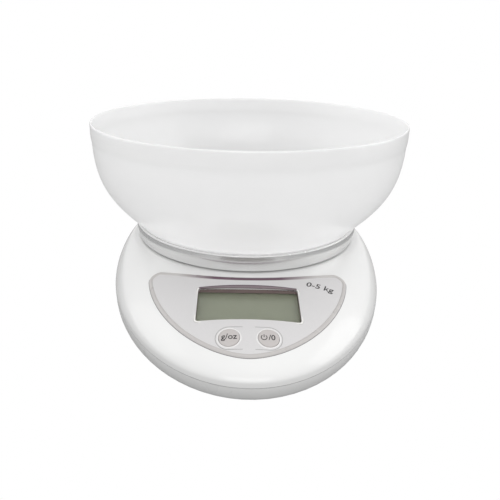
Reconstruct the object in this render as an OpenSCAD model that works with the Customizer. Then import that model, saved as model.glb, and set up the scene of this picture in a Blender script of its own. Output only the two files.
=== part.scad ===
// Digital kitchen scale: egg-shaped body, round platform, lift-off bowl.
// Millimetres, +Z up, the nose and the control panel face -Y, and z = 0 is the table.
// The platform's axis is drawn at x = 0, y = 0, and place() moves it to its place in the frame.

/* [Body] */
// Width of the body at its widest station
body_w = 165; // [155:0.5:175]
// Length from the widest station forward to the nose
nose_len = 121.5; // [115:0.5:130]
// Length from the widest station back to the tail
tail_len = 96.5; // [92:0.5:104]
// How far the widest station lies in front of the platform's axis
station = 19; // [15:0.5:22]
// Exponent of the nose outline, where 2 is an ellipse and less is more pointed
nose_power = 1.67; // [1.55:0.01:2]
// Height of the flat seat under the platform
seat_z = 33.7; // [32.5:0.1:36]
// Diameter of the flat seat under the platform
seat_d = 146; // [144:0.5:150]
// Height where the shoulder meets the side wall
shoulder_z = 13.1; // [12:0.1:15]
// Exponent of the shoulder, where 2 is a quarter ellipse and 1 a straight slope
shoulder_power = 1.7; // [1.5:0.05:2]
// Height of the parting line between the two housings
parting_z = 10.8; // [10:0.1:11.5]
// Width of the groove along the parting line
seam = 0.5; // [0.2:0.1:0.8]
// Height of the underside above the table
underside_z = 3.3; // [3:0.1:4]
// How far the lower edge of the body tucks in
tuck = 1.8; // [1:0.1:2.5]
// Wall thickness of the two housings
wall = 2.2; // [1.8:0.1:2.5]

/* [Platform] */
// Diameter of the platform at its top edge
platform_d = 142; // [138:0.5:143]
// Height of the platform's side wall
platform_h = 9.5; // [8.5:0.1:10.5]
// How much the curved side wall draws in towards its foot, on the radius
platform_taper = 0.9; // [0.3:0.1:1.5]
// Gap between the platform's wall and the body
platform_gap = 0.9; // [0.7:0.1:1.5]
// Thickness of the platform's plate and wall
platform_wall = 2.1; // [1.8:0.1:2.4]
// Width of the platform's lip around the bowl's foot
lip_w = 1.9; // [1.6:0.1:3]
// Depth of the round recess that takes the bowl's foot
recess_depth = 1.2; // [0.8:0.1:1.4]
// Travel of the platform from no load to full load
platform_travel = 0.5; // [0.3:0.05:0.6]

/* [Bowl] */
// Diameter of the bowl over its rim band
bowl_d = 190.6; // [184:0.2:196]
// Height of the bowl
bowl_h = 63.7; // [58:0.1:68]
// Wall thickness of the bowl
bowl_wall = 1.6; // [1.2:0.1:2]
// Height of the rim band
band_h = 11; // [7:0.5:12]
// How far the rim band stands out from the bowl's side
band_t = 0.4; // [0.3:0.1:1.4]

/* [Control panel] */
// Half width of the panel
panel_a = 53.8; // [52:0.2:56]
// Distance of the panel's widest place in front of the platform's axis
panel_y = 72; // [71:0.1:74]
// Distance of the middle of the panel's hollow upper edge in front of the axis
panel_top = 76.2; // [75:0.1:77]
// Radius of the panel's hollow upper edge
panel_arc = 140; // [130:1:160]
// Exponent of the panel's lower edge across its width
panel_power_x = 1.86; // [1.7:0.02:2.1]
// Exponent of the panel's lower edge along its length
panel_power_y = 1.52; // [1.4:0.02:1.7]
// Radius of the panel's upper corners
panel_corner = 6; // [5:0.1:6.5]
// Distance from the panel's tip to the nose
panel_margin = 8.2; // [7:0.1:10]
// Thickness of the panel plate
panel_t = 1.2; // [1:0.1:1.3]
// Width of the raised border
border_w = 2; // [1.6:0.1:2.8]
// Height of the raised border
border_h = 0.5; // [0.3:0.1:0.7]
// Width of the display window
window_w = 51.6; // [48:0.2:53]
// Length of the display window down the panel
window_l = 25.2; // [23:0.1:25.6]
// Diameter of the two buttons
button_d = 9.6; // [9:0.1:10.4]
// Distance between the two buttons
button_pitch = 18.5; // [16.5:0.1:20]
// Distance of the buttons down the panel from its working centre
button_v = 22.4; // [21.5:0.1:23]
// Travel of the buttons
button_travel = 0.6; // [0.4:0.05:0.7]

/* [Load cell] */
// Length of the bar
bar_l = 60; // [56:1:64]
// Width of the bar
bar_w = 12; // [11:0.5:14]
// Height of the bar
bar_h = 10; // [9:0.5:11]
// Height of the bar's underside above the table
bar_z = 13; // [12.5:0.1:13.5]
// Diameter of the two sensing holes
sense_d = 7; // [5.5:0.1:7.5]
// Distance between the two screws of one end
bar_screw_pitch = 10; // [9:0.5:12]

/* [Batteries] */
// Diameter of a cell
cell_d = 14.4; // [14:0.1:14.6]
// Length of a cell over its positive button
cell_l = 50.5; // [49.5:0.1:51]
// Length of a compressed contact spring
spring_l = 5.5; // [5:0.1:6.5]
// Angle to which the battery door opens
door_angle = 90; // [60:5:90]

/* [Feet and screws] */
// Diameter of a rubber foot
foot_d = 14; // [12:0.5:16]
// Depth of a foot's recess in the underside
foot_seat = 0.8; // [0.6:0.1:1.2]
// Diameter of a housing screw's shank
screw_d = 2.5; // [2.3:0.1:2.8]

/* [Hidden] */
$fn = 64;

// Clearances, each used wherever its kind of fit comes up
slip = 0.2;        // between parts that drop into each other
run_fit = 0.08;    // on the radius of a turning pin
part_gap = 0.3;    // between curved neighbours of different bodies
bite = 0.02;       // how much thinner a screw's shank is than its pilot hole, on the radius
eps = 0.01;
over = 1;          // how far a cutter runs past what it cuts

// The body's outline and its surfaces
sides = 84;
shoulder_steps = 7;
half_w = body_w / 2;
rear_reach = max(bowl_d / 2, tail_len - station);
front_reach = nose_len + station;
axis_y = (front_reach - rear_reach) / 2;
floor_top = underside_z + wall;

// The platform and the bowl, from the seat upwards
skirt_z = seat_z + platform_gap;
lip_z = skirt_z + platform_h;
tray_z = lip_z - recess_depth;
plate_under = tray_z - platform_wall;
lip_chamfer = 0.6;
bowl_z = tray_z;
bowl_foot_h = recess_depth + part_gap;
bowl_foot_w = 3.5;
bowl_side_r = bowl_d / 2 - band_t;
bowl_steps = 24;
bowl_power_r = 0.748;
bowl_power_z = 3.525;
foot_slack = 0.6;
recess_r = platform_d / 2 - lip_w;
bowl_foot_r = recess_r - foot_slack;

// The tilted working frame of the panel: u across, v up the slope, w out of it
tilt_y = front_reach - 40.5;
tilt_z = ridge_height(tilt_y) - 1;
tilt_a = atan((ridge_height(tilt_y - 20) - ridge_height(tilt_y + 27.5)) / 47.5);
window_v0 = -11;
window_v1 = window_v0 + window_l;
recess_bottom = -3.6;
lens_t = 1;
glass_t = 2.3;
frame_bottom = -9;
board_t = 1.6;
board_top = frame_bottom;
board_under = board_top - board_t;
lens_under = recess_bottom - lens_t;
window_wall = 2.4;
bezel_w = 0.9;
button_gap = 0.3;
flange_top = -3.6;
flange_t = 0.8;
switch_top = -5.9;
plunger_top = -5.1;
plunger_d = 3.2;
switch_w = 6;
board_u = 38;
board_v0 = -14;
board_v1 = 19;
tongue_u = button_pitch / 2 + 7.75;
tongue_v = -button_v - 6.6;
board_screw_u = 34.5;
board_screw_v = [-10, 15];
board_screw_d = 2;

// The load cell's stack
bar_gap = 0.3;
bar_top = bar_z + bar_h;
end_y = bar_l / 2 - 8;
spacer_t = 2;
coat_t = 1.2;
bracket_z = skirt_z + 2.6;
bracket_t = 2;
bracket_d = 100;
hub_floor_z = bar_top + spacer_t;
hub_floor_t = 3;
hub_x = 15;
hub_y = 11;
hub_wall = 2;
bar_screw_d = 4;
platform_screw_r = 36;
platform_screw_d = 3;
rest_h = plate_under - bracket_z - bracket_t;

// The battery bay, drawn with its length along X
bay_wall = 1.6;
contact_t = 0.4;
bay_x = (cell_l + spring_l + 2 * contact_t) / 2 + slip;
tail_room = tail_len / 4 - 13.1;
cell_gap = 0.7;
cell_pitch = cell_d + 2 * slip + 0.8;
bay_y1 = tail_len - station - tail_room - bay_wall;
bay_y0 = bay_y1 - cell_pitch - cell_d - 2 * cell_gap;
bar_y = bay_y0 - bay_wall - 1.9 - bar_l / 2;
load_y = bar_y - end_y;
coat_end = bar_y + 2 + bar_l / 5;
cell_y0 = bay_y0 + cell_gap + cell_d / 2;
door_t = 1.8;
cell_z = underside_z + door_t + 0.2 + cell_d / 2;
bay_top = cell_z + cell_d / 2 + cell_gap;
pin_d = 2;
pin_y = bay_y0 + 1.6;
pin_z = floor_top + 0.5;
lip_y = pin_y + 2.9;
ear_w = 3.2;
ear_d = 3.2;
door_bevel = 0.9;
ear_x = bay_x - ear_w / 2 - 0.6;

// Screws and feet
post_z = 12.5;
post_d = 8;
post_seat = 8;
head_d = 5.8;
head_t = 2;
pilot_top = 18.5;
posts = [[30, 21.5 - front_reach], [half_w - 16.5, -5], [44, tail_len - station - 29.5]];
feet_at = [[46, 56.5 - front_reach], [50, tail_len - station - 47.5]];
foot_h = underside_z + foot_seat;

white = [0.95, 0.95, 0.94];
silver = [0.78, 0.78, 0.77];

// Power of a sine or cosine that keeps its sign
function spow(a, p) = sign(a) * pow(abs(a), p);

// Height of the shoulder on the body's middle line, at a distance in front of the axis
function ridge_height(y) =
    let (t = (y - seat_d / 2) / (front_reach - seat_d / 2))
    shoulder_z + (seat_z - shoulder_z) * pow(1 - pow(t, shoulder_power), 1 / shoulder_power);

// One point of the body's outline, drawn in by inset
function rim_point(i, inset) =
    let (s = 360 * (i + 0.5) / sides, front = sin(s) < 0)
    [
        (half_w - inset) * cos(s),
        -station + (front ? (nose_len - inset) * spow(sin(s), 2 / nose_power)
                          : (tail_len - inset) * sin(s))
    ];

// A flat ring of the outline at one height
function flat_ring(inset, z) =
    [for (i = [0 : sides - 1]) let (p = rim_point(i, inset)) [p[0], p[1], z]];

// A ring part of the way from the outline (k = 0) up over the shoulder to the seat (k = 1)
function shoulder_ring(k, inset, top) =
    let (
        t = pow(cos(90 * k), 2 / shoulder_power),
        z = shoulder_z + (top - shoulder_z) * pow(sin(90 * k), 2 / shoulder_power)
    )
    [for (i = [0 : sides - 1])
        let (p = rim_point(i, inset), q = p * (seat_d / 2 - inset) / norm(p))
        [q[0] + (p[0] - q[0]) * t, q[1] + (p[1] - q[1]) * t, z]];

// A closed skin over a stack of rings, with flat ends
module skin(rings) {
    n = len(rings[0]);
    polyhedron(
        points = [for (r = rings) for (p = r) p],
        faces = concat(
            [for (i = [0 : len(rings) - 2]) for (j = [0 : n - 1])
                [i * n + j, (i + 1) * n + j, (i + 1) * n + (j + 1) % n]],
            [for (i = [0 : len(rings) - 2]) for (j = [0 : n - 1])
                [i * n + j, (i + 1) * n + (j + 1) % n, i * n + (j + 1) % n]],
            [[for (j = [0 : n - 1]) j]],
            [[for (j = [n - 1 : -1 : 0]) (len(rings) - 1) * n + j]]
        ),
        convexity = 4
    );
}

// The body's upper form, drawn in by inset, from a given height up
module upper_form(inset = 0, from = parting_z) {
    skin(concat(
        [flat_ring(inset, from)],
        [for (m = [0 : shoulder_steps]) shoulder_ring(m / shoulder_steps, inset, seat_z - inset)]
    ));
}

// The body's lower form, with its lower edge tucked in and the groove at its upper edge
module lower_form() {
    top = parting_z - seam;
    skin(concat(
        [for (a = [0 : 22.5 : 90])
            flat_ring(tuck * (1 - sin(a)), top - (top - underside_z) * cos(a))],
        [flat_ring(seam, parting_z)]
    ));
}

// The body's outline as a flat shape
module outline(inset) {
    polygon([for (i = [0 : sides - 1]) rim_point(i, inset)]);
}

// Moves the platform's axis to its place in the frame
module place() {
    translate([0, axis_y, 0]) children();
}

// The panel's tilted working frame
module tilted() {
    translate([0, -tilt_y, tilt_z]) rotate([tilt_a, 0, 0]) children();
}

// A bar with rounded vertical edges, from z0 to z1
module slab(x0, x1, y0, y1, z0, z1, r = 1) {
    translate([0, 0, z0]) linear_extrude(z1 - z0) hull()
        for (x = [x0 + r, x1 - r]) for (y = [y0 + r, y1 - r]) translate([x, y]) circle(r, $fn = 32);
}

// A plain block between two corners
module block(x0, x1, y0, y1, z0, z1) {
    translate([x0, y0, z0]) cube([x1 - x0, y1 - y0, z1 - z0]);
}

// A path with every corner rounded over the distance r
function bent(path, r) = concat(
    [path[0]],
    [for (i = [1 : len(path) - 2], k = [0 : 3])
        let (
            a = path[i] + r * unit(path[i - 1] - path[i]),
            b = path[i] + r * unit(path[i + 1] - path[i]),
            t = k / 3
        )
        a * (1 - t) * (1 - t) + path[i] * 2 * t * (1 - t) + b * t * t],
    [path[len(path) - 1]]
);

function unit(a) = a / norm(a);

// Carries a ring along a path, mitred at each point, from point i to the end
function carried(path, ring, i) =
    i == len(path) ? [] :
    let (
        along = unit(path[i] - path[i - 1]),
        across = i == len(path) - 1 ? along : along + unit(path[i + 1] - path[i]),
        moved = [for (p = ring) p + along * (((path[i] - p) * across) / (along * across))]
    )
    concat([moved], carried(path, moved, i + 1));

// A round wire along a path with rounded corners
module wire(points, d, bend = 2) {
    n = 8;
    path = bent(points, bend);
    z = unit(path[1] - path[0]);
    x = unit(cross(z, abs(z[0]) < 0.8 ? [1, 0, 0] : [0, 1, 0]));
    y = cross(z, x);
    ring = [for (j = [0 : n - 1]) path[0] - (x * cos(360 * j / n) + y * sin(360 * j / n)) * d / 2];
    skin([for (r = concat([ring], carried(path, ring, 1))) [for (j = [n - 1 : -1 : 0]) r[j]]]);
}

// A pan-head screw, its head's underside at z = 0 and its shank up
module screw(d, length, head, height) {
    union() {
        cylinder(h = length, d = d);
        difference() {
            translate([0, 0, -height]) cylinder(h = height, d = head);
            for (a = [0, 90]) rotate([0, 0, a])
                translate([-head * 0.3, -0.3, -height - over]) cube([head * 0.6, 0.6, over + height / 2]);
        }
    }
}

// The half-moon outline of the panel, drawn in by inset
module panel_shape(inset = 0) {
    steps = 40;
    panel_b = front_reach - panel_margin - panel_y;
    offset(delta = -inset) offset(r = panel_corner, $fn = 48) offset(delta = -panel_corner)
        difference() {
            polygon(concat(
                [for (i = [0 : steps]) let (s = 180 * i / steps)
                    [panel_a * spow(cos(s), 2 / panel_power_x),
                     -panel_y - panel_b * pow(sin(s), 2 / panel_power_y)]],
                [[-panel_a, -panel_y + panel_a / 2], [panel_a, -panel_y + panel_a / 2]]
            ));
            translate([0, panel_arc - panel_top]) circle(panel_arc, $fn = 180);
        }
}

// Window and buttons as cutters in the tilted frame
module window_cut(grow = 0, low = recess_bottom, high = 6) {
    slab(-window_w / 2 - grow, window_w / 2 + grow, window_v0 - grow, window_v1 + grow,
         low, high, 1.5);
}

module button_spots() {
    for (s = [-1, 1]) translate([s * button_pitch / 2, -button_v, 0]) children();
}

// What lies between the body's surface lowered by low and raised by high
module layer(low, high) {
    difference() {
        translate([0, 0, high]) upper_form();
        translate([0, 0, -low]) upper_form(from = parting_z - over);
    }
}

module bowl_form(shrink, z0) {
    h = bowl_h;
    rb = bowl_foot_r;
    low = max(z0, bowl_foot_h);
    rotate_extrude($fn = 180)
        polygon(concat(
            [[0, z0]],
            z0 < bowl_foot_h ? [[rb, z0], [rb, bowl_foot_h]] : [],
            [for (i = [0 : bowl_steps])
                let (z = low + (h - low) * i / bowl_steps)
                [rb - shrink + (bowl_side_r - rb)
                    * pow(1 - pow(max(0, h - z) / h, bowl_power_z), 1 / bowl_power_r), z]],
            [[bowl_side_r - shrink, h + (shrink > 0 ? over : 0)], [0, h + (shrink > 0 ? over : 0)]]
        ));
}

module bowl() {
    band_r = 1.1;
    color([0.93, 0.94, 0.94, 0.8]) translate([0, 0, bowl_z])
        difference() {
            union() {
                bowl_form(0, 0);
                // Rim band with a rounded upper edge
                rotate_extrude($fn = 180) translate([0, bowl_h - band_h])
                    polygon(concat(
                        [[bowl_side_r - bowl_wall / 2, 0], [bowl_side_r, 0],
                         [bowl_d / 2 - 0.2, 0.8], [bowl_d / 2, 1.6]],
                        [for (a = [0 : 22.5 : 90])
                            [bowl_d / 2 - band_r + band_r * cos(a),
                             band_h - band_r + band_r * sin(a)]],
                        [[bowl_side_r - bowl_wall / 2, band_h]]
                    ));
            }
            bowl_form(bowl_wall, bowl_foot_h + bowl_wall);
            // The inside widens behind the band, so that the rim is as thick as the wall
            rotate_extrude($fn = 180) translate([0, bowl_h - band_h])
                polygon([[0, bowl_wall], [bowl_side_r - bowl_wall, bowl_wall],
                         [bowl_d / 2 - bowl_wall, band_h - bowl_wall],
                         [bowl_d / 2 - bowl_wall, band_h + over], [0, band_h + over]]);
            // The foot is a ring, and the floor stands clear inside it
            translate([0, 0, -over])
                cylinder(h = bowl_foot_h + over, r = bowl_foot_r - bowl_foot_w, $fn = 120);
        }
}

module platform() {
    r = platform_d / 2;
    foot_r = r - platform_taper;
    wall_steps = 5;
    color(silver)
        difference() {
            union() {
                rotate_extrude($fn = 180)
                    polygon(concat(
                        [[0, plate_under], [0, tray_z], [recess_r, tray_z], [recess_r, lip_z],
                         [r - lip_chamfer, lip_z]],
                        // Upright at the lip, and drawn in more and more towards the foot
                        [for (i = [0 : wall_steps])
                            let (f = i / wall_steps)
                            [r - platform_taper * f * f,
                             lip_z - lip_chamfer - (platform_h - lip_chamfer) * f]],
                        [[foot_r - platform_wall, skirt_z],
                         [r - platform_wall, plate_under - 1.2], [r - platform_wall - 1.2, plate_under]]
                    ));
                // Ring that stands on the bracket, and the three screw bosses
                translate([0, 0, plate_under - rest_h]) difference() {
                    cylinder(h = rest_h + eps, r = 46);
                    translate([0, 0, -over]) cylinder(h = rest_h + 2 * over, r = 44);
                }
                for (a = [90, 210, 330]) rotate([0, 0, a])
                    translate([platform_screw_r, 0, plate_under - rest_h])
                        cylinder(h = rest_h + eps, d = 8);
            }
            for (a = [90, 210, 330]) rotate([0, 0, a])
                translate([platform_screw_r, 0, plate_under - rest_h - over])
                    cylinder(h = rest_h + over + platform_wall * 0.6, d = platform_screw_d);
        }
}

module platform_bracket() {
    spoke_w = 12;
    color(white)
        difference() {
            union() {
                // Outer ring, spokes and the plate over the hub
                translate([0, 0, bracket_z]) {
                    difference() {
                        cylinder(h = bracket_t, d = bracket_d);
                        translate([0, 0, -over]) cylinder(h = bracket_t + 2 * over, r = 31);
                    }
                    for (a = [30, 90, 150]) rotate([0, 0, a])
                        block(-bracket_d / 2 + 4, bracket_d / 2 - 4, -spoke_w / 2, spoke_w / 2,
                              0, bracket_t);
                }
                translate([0, load_y, 0])
                    slab(-hub_x, hub_x, -hub_y, hub_y, hub_floor_z, bracket_z + bracket_t, 3);
            }
            // The hub is a well that takes the screw heads
            translate([0, load_y, 0])
                slab(-hub_x + hub_wall, hub_x - hub_wall, -hub_y + hub_wall, hub_y - hub_wall,
                     hub_floor_z + hub_floor_t, bracket_z + bracket_t + over, 2);
            bar_screw_spots(-1) translate([0, 0, hub_floor_z - over])
                cylinder(h = hub_floor_t + 2 * over, d = bar_screw_d + slip);
            for (a = [90, 210, 330]) rotate([0, 0, a])
                translate([platform_screw_r, 0, bracket_z - over])
                    cylinder(h = bracket_t + 2 * over, d = platform_screw_d + 2 * slip);
        }
}

module platform_screws() {
    color("silver") for (a = [90, 210, 330]) rotate([0, 0, a])
        translate([platform_screw_r, 0, bracket_z])
            screw(platform_screw_d - 2 * bite, bracket_t + rest_h + platform_wall * 0.4, 5.5, 1.6);
}

// The two screws of one end of the bar: -1 is the loaded end, 1 the fixed end
module bar_screw_spots(end) {
    for (s = [-1, 1]) translate([0, bar_y + end * end_y + s * bar_screw_pitch / 2, 0]) children();
}

module load_spacer() {
    color("silver") difference() {
        slab(-bar_w / 2, bar_w / 2, bar_y - bar_l / 2, load_y + hub_y - 3, bar_top, hub_floor_z, 0.5);
        bar_screw_spots(-1) translate([0, 0, bar_top - over])
            cylinder(h = spacer_t + 2 * over, d = bar_screw_d + slip);
    }
}

module load_screws() {
    color("silver") bar_screw_spots(-1)
        translate([0, 0, hub_floor_z + hub_floor_t]) mirror([0, 0, 1])
            screw(bar_screw_d - 2 * bite, hub_floor_t + spacer_t + bar_h * 0.6, 7, 2.4);
}

// The bar, with its two sensing holes joined by a slot
module bar_form() {
    hole_y = bar_l * 0.13;
    mid_z = bar_z + bar_h / 2;
    slot = 3;
    difference() {
        block(-bar_w / 2, bar_w / 2, bar_y - bar_l / 2, bar_y + bar_l / 2, bar_z, bar_top);
        for (s = [-1, 1]) translate([-bar_w, bar_y + s * hole_y, mid_z]) rotate([0, 90, 0])
            cylinder(h = 2 * bar_w, d = sense_d);
        block(-bar_w, bar_w, bar_y - hole_y, bar_y + hole_y, mid_z - slot / 2, mid_z + slot / 2);
        for (end = [-1, 1]) bar_screw_spots(end) translate([0, 0, bar_z - over])
            cylinder(h = bar_h + 2 * over, d = bar_screw_d);
    }
}

module load_cell_free_end() {
    color("lightgrey") intersection() {
        bar_form();
        block(-bar_w, bar_w, bar_y - bar_l, bar_y - bar_gap / 2, 0, bar_top + over);
    }
}

module load_cell_fixed_end() {
    color("lightgrey") intersection() {
        bar_form();
        block(-bar_w, bar_w, bar_y + bar_gap / 2, bar_y + bar_l, 0, bar_top + over);
    }
}

module gauge_coating() {
    color("white") for (z = [bar_z - coat_t, bar_top])
        slab(-bar_w / 2 + 1, bar_w / 2 - 1, bar_y + 2, coat_end, z, z + coat_t, 1.5);
}

module fixed_spacer() {
    color("silver") difference() {
        slab(-bar_w / 2, bar_w / 2, bar_y + end_y - 8, bar_y + bar_l / 2, bar_z - spacer_t, bar_z, 0.5);
        bar_screw_spots(1) translate([0, 0, bar_z - spacer_t - over])
            cylinder(h = spacer_t + 2 * over, d = bar_screw_d + slip);
    }
}

module anchor_screws() {
    color("silver") bar_screw_spots(1) translate([0, 0, anchor_seat()])
        screw(bar_screw_d - 2 * bite, bar_z + bar_h * 0.6 - anchor_seat(), 7, 2.4);
}

function anchor_seat() = underside_z + 3;

module upper_housing() {
    color(white)
        difference() {
            union() {
                difference() {
                    upper_form();
                    upper_form(inset = wall, from = parting_z - over);
                }
                intersection() {
                    translate([0, 0, -wall / 2]) upper_form();
                    union() {
                        // Walls of the display's recess
                        tilted() window_cut(window_wall);
                        // Bosses for the board's screws
                        tilted() board_screw_spots() translate([0, 0, board_top])
                            cylinder(h = 14, d = 5.4);
                        // Bosses for the housing screws
                        post_spots() translate([0, 0, post_z])
                            cylinder(h = seat_z - post_z, d = post_d - 0.6);
                    }
                }
            }
            // Seat of the panel plate
            difference() {
                translate([0, 0, parting_z]) linear_extrude(seat_z)
                    offset(delta = slip) panel_shape();
                translate([0, 0, -panel_t]) upper_form(from = parting_z - over);
            }
            tilted() window_cut(0, -40);
            tilted() button_spots() translate([0, 0, -8])
                cylinder(h = 16, d = button_d + 4 * button_gap);
            tilted() board_screw_spots() translate([0, 0, board_top - over])
                cylinder(h = over + 5, d = board_screw_d);
            post_spots() translate([0, 0, post_z - over])
                cylinder(h = pilot_top - post_z + over, d = screw_d);
            // Opening through which the bracket's hub passes
            translate([0, load_y, 0])
                slab(-hub_x - 2, hub_x + 2, -hub_y - 2, hub_y + 2,
                     seat_z - 2 * wall, seat_z + over, 4);
        }
}

// Places of the four board screws, in the tilted frame
module board_screw_spots() {
    for (s = [-1, 1]) for (v = board_screw_v) translate([s * board_screw_u, v, 0]) children();
}

// Places of the six housing screws
module post_spots() {
    for (s = [-1, 1]) for (p = posts) translate([s * p[0], p[1], 0]) children();
}

module foot_spots() {
    for (s = [-1, 1]) for (p = feet_at) translate([s * p[0], p[1], 0]) children();
}

module lower_housing() {
    color(white)
        difference() {
            union() {
                difference() {
                    lower_form();
                    translate([0, 0, floor_top]) linear_extrude(parting_z) outline(wall);
                }
                // Tongue that steps up inside the upper housing
                translate([0, 0, floor_top - eps]) linear_extrude(parting_z + 2 - floor_top)
                    difference() {
                        outline(wall + slip);
                        outline(wall + slip + 1.2);
                    }
                post_spots() translate([0, 0, floor_top - eps])
                    cylinder(h = post_z - floor_top + eps, d = post_d);
                // Pedestal of the load cell's fixed end, and its overload stop
                slab(-bar_w / 2 - 3, bar_w / 2 + 3, bar_y + end_y - 9, bar_y + bar_l / 2 + 1,
                     floor_top - eps, bar_z - spacer_t, 2);
                slab(-4, 4, bar_y - bar_l / 2 + 2, bar_y - bar_l / 2 + 8,
                     floor_top - eps, bar_z - platform_travel - 0.1, 1);
                // Battery bay
                slab(-bay_x - bay_wall, bay_x + bay_wall, bay_y0 - bay_wall, bay_y1 + bay_wall,
                     floor_top - eps, bay_top + bay_wall, 1);
                // Stiffening ribs of the floor
                for (x = [-34, 34])
                    block(x - 0.7, x + 0.7, -tilt_y, bay_y0 - 13.5, floor_top - eps, floor_top + 2);
            }
            post_spots() translate([0, 0, underside_z - over]) {
                cylinder(h = post_seat - underside_z + over, d = head_d + 2 * slip);
                cylinder(h = post_z, d = screw_d + 2 * slip);
            }
            bar_screw_spots(1) translate([0, 0, underside_z - over]) {
                cylinder(h = anchor_seat() - underside_z + over, d = 7 + 2 * slip);
                cylinder(h = bar_z, d = bar_screw_d + slip);
            }
            foot_spots() translate([0, 0, underside_z - over])
                cylinder(h = over + foot_seat, d = foot_d + slip);
            // Inside of the bay, the door's opening and the two notches for the door's ears
            block(-bay_x, bay_x, bay_y0, bay_y1, floor_top, bay_top);
            block(-bay_x, bay_x, lip_y, bay_y1, underside_z - over, bay_top);
            for (m = [0, 1]) mirror([m, 0, 0])
                block(ear_x - ear_w / 2 - slip, bay_x + eps,
                      bay_y0 - bay_wall - eps, lip_y + eps, underside_z - over, pin_z + ear_d / 2);
            // Pin holes in the bay's end walls
            for (s = [-1, 1]) translate([s * (bay_x + bay_wall / 2 - 0.1), pin_y, pin_z])
                rotate([0, 90, 0])
                    cylinder(h = bay_wall, d = pin_d + 2 * run_fit, center = true);
            // Slots for the solder tabs of the two end contacts
            for (k = [0, 1])
                block(bay_x - eps, bay_x + bay_wall + eps, cell_y0 + k * cell_pitch - 1.7,
                      cell_y0 + k * cell_pitch + 1.7, bay_top - 4.2, bay_top - 2.8);
        }
}

module housing_screws() {
    color("silver") post_spots() translate([0, 0, post_seat])
        screw(screw_d - 2 * bite, pilot_top - post_seat - 0.5, head_d, head_t);
}

module control_panel() {
    color([0.82, 0.81, 0.81])
        difference() {
            intersection() {
                layer(panel_t, border_h);
                linear_extrude(seat_z + over) panel_shape();
            }
            // Face inside the raised border, with fine rims left round the window and buttons
            difference() {
                translate([0, 0, parting_z]) linear_extrude(seat_z) panel_shape(border_w);
                upper_form(from = parting_z - over);
                tilted() {
                    window_cut(bezel_w);
                    button_spots() translate([0, 0, -6])
                        cylinder(h = 12, d = button_d + 2 * button_gap + 2 * bezel_w);
                }
            }
            tilted() window_cut(0, -20);
            tilted() button_spots() translate([0, 0, -8])
                cylinder(h = 16, d = button_d + 2 * button_gap);
        }
}

module display_lens() {
    color([0.7, 0.74, 0.7, 0.5]) tilted()
        window_cut(window_wall, lens_under, recess_bottom);
}

module display_frame() {
    color("dimgrey") tilted() difference() {
        slab(-window_w / 2 - 3.7, window_w / 2 + 3.7, window_v0 - 3.7, window_v1 + 3.7,
             frame_bottom, lens_under, 1.5);
        // Pocket of the glass, and the opening behind it
        slab(-window_w / 2 - 1.2 - slip, window_w / 2 + 1.2 + slip,
             window_v0 - 1.2 - slip, window_v1 + 1.2 + slip,
             lens_under - glass_t - 0.1, lens_under + over, 0.5);
        slab(-window_w / 2 + 1, window_w / 2 - 1, window_v0 - 0.8, window_v1 + 0.8,
             frame_bottom - over, lens_under, 0.5);
    }
}

module display_glass() {
    color([0.55, 0.6, 0.5]) tilted()
        block(-window_w / 2 - 1.2, window_w / 2 + 1.2, window_v0 - 1.2, window_v1 + 1.2,
              lens_under - glass_t - 0.1, lens_under - 0.1);
}

module contact_strips() {
    color("hotpink") tilted() for (v = [window_v0 + 1.2, window_v1 - 1.2])
        block(-window_w / 2 + 2, window_w / 2 - 2, v - 1.1, v + 1.1,
              board_top, lens_under - glass_t - 0.1);
}

module main_board() {
    color("darkgreen") tilted() difference() {
        union() {
            slab(-board_u, board_u, board_v0, board_v1, board_under, board_top, 1.5);
            // Tongue that carries the switches
            slab(-tongue_u, tongue_u, tongue_v, board_v0 + 1.5, board_under, board_top, 1.5);
        }
        board_screw_spots() translate([0, 0, board_under - over])
            cylinder(h = board_t + 2 * over, d = board_screw_d + 2 * slip);
    }
}

module chip_cover() {
    color("black") tilted() translate([-6, 3, board_under]) mirror([0, 0, 1])
        rotate_extrude() polygon([[0, 0], [5, 0], [4.4, 0.9], [3, 1.5], [0, 1.8]]);
}

module board_components() {
    color("goldenrod") tilted() translate([0, 0, board_under]) mirror([0, 0, 1]) {
        // Capacitors, the crystal and small chips, seen from behind
        for (p = [[12, 10], [18, 10], [24, 10]]) translate([p[0], p[1], 0]) cylinder(h = 5, d = 4);
        slab(-24, -16, 8, 11, 0, 2.5, 1.4);
        for (p = [[12, -4], [16, -4], [20, -4], [-18, -6], [-22, -6]])
            block(p[0], p[0] + 2, p[1], p[1] + 1.2, 0, 0.8);
    }
}

module board_screws() {
    color("silver") tilted() board_screw_spots() translate([0, 0, board_under])
        screw(board_screw_d - 2 * bite, board_t + 4, 4, 1.4);
}

module switch_bodies() {
    color("black") tilted() button_spots() difference() {
        block(-switch_w / 2, switch_w / 2, -switch_w / 2, switch_w / 2, board_top, switch_top);
        translate([0, 0, plunger_top - 2 - button_travel - part_gap])
            cylinder(h = 4, d = plunger_d + 2 * run_fit);
    }
}

module plunger(side) {
    color("ivory") tilted() translate([side * button_pitch / 2, -button_v, plunger_top - 2])
        cylinder(h = 2, d = plunger_d);
}

module unit_plunger() { plunger(-1); }

module power_plunger() { plunger(1); }

module button(side) {
    proud = 0.5;
    color([0.83, 0.81, 0.8]) union() {
        intersection() {
            translate([0, 0, proud]) upper_form();
            tilted() translate([side * button_pitch / 2, -button_v, flange_top])
                cylinder(h = 12, d = button_d);
        }
        tilted() translate([side * button_pitch / 2, -button_v, 0]) {
            translate([0, 0, flange_top - flange_t]) cylinder(h = flange_t + eps, d = button_d + 2.8);
            translate([0, 0, plunger_top]) cylinder(h = flange_top - plunger_top, d = 4);
        }
    }
}

module unit_button() { button(-1); }

module power_button() { button(1); }

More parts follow.
